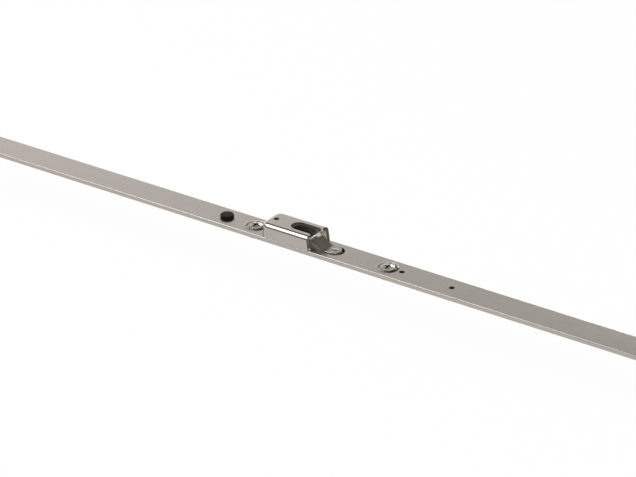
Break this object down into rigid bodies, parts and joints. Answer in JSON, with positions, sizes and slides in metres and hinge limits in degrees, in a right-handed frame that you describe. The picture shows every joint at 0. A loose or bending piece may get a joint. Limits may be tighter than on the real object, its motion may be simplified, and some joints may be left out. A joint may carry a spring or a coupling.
{
  "type": "window espagnolette",
  "caption": "Flat window espagnolette: a plated faceplate over a sliding rod that a square-spindle gear drives, with a raised slotted keeper that slides along it.",
  "frame": {"origin": "on the faceplate's outer face, on its mid-line, level with the spindle's axis", "axes": "+X along the faceplate towards the keeper, +Y across it towards the back of the picture, +Z out of the outer face"},
  "size_m": [0.645, 0.02, 0.0447],
  "materials": {
    "plated_steel": "satin nickel-zinc plating over rolled steel",
    "carrier_steel": "dull plating with sheared edges",
    "cast_zinc": "die-cast zinc alloy, satin as cast",
    "cover_steel": "plated sheet, satin",
    "rivet_steel": "turned and plated",
    "screw_steel": "bright zinc plating",
    "bush_plastic": "natural acetal",
    "black_plastic": "black moulded nylon",
    "sintered_steel": "oiled sintered steel",
    "rod_steel": "plated strip"
  },
  "bodies": {
    "frame": {"faceplate": "plated_steel", "gear_case": "cast_zinc", "case_cover": "cover_steel", "cover_rivets": "rivet_steel", "case_screw_left": "screw_steel", "case_screw_right": "screw_steel", "guide_screw_left": "screw_steel", "guide_screw_right": "screw_steel", "guide_nut_left": "rivet_steel", "guide_nut_right": "rivet_steel", "hub_bush_front": "bush_plastic", "hub_bush_back": "bush_plastic", "guide_plug": "black_plastic"},
    "slider": {"drive_rod": "rod_steel", "rack": "sintered_steel", "keeper": "plated_steel", "keeper_carrier": "carrier_steel", "carrier_sleeve": "rivet_steel", "sleeve_rivet": "rivet_steel", "tongue_rivet": "rivet_steel"},
    "hub": {"pinion": "sintered_steel"}
  },
  "joints": [
    {"name": "rod_slide", "type": "slide", "parent": "frame", "child": "slider", "axis": [1, 0, 0], "range_m": [-0.01767, 0]},
    {"name": "pinion_turn", "type": "hinge", "parent": "frame", "child": "hub", "pos_m": [0, 0, -0.02], "axis": [0, 1, 0], "range_deg": [-90, 0]}
  ],
  "couplings": [
    {"joint": "pinion_turn", "follows": "rod_slide", "rad_per_m": 88.889}
  ]
}
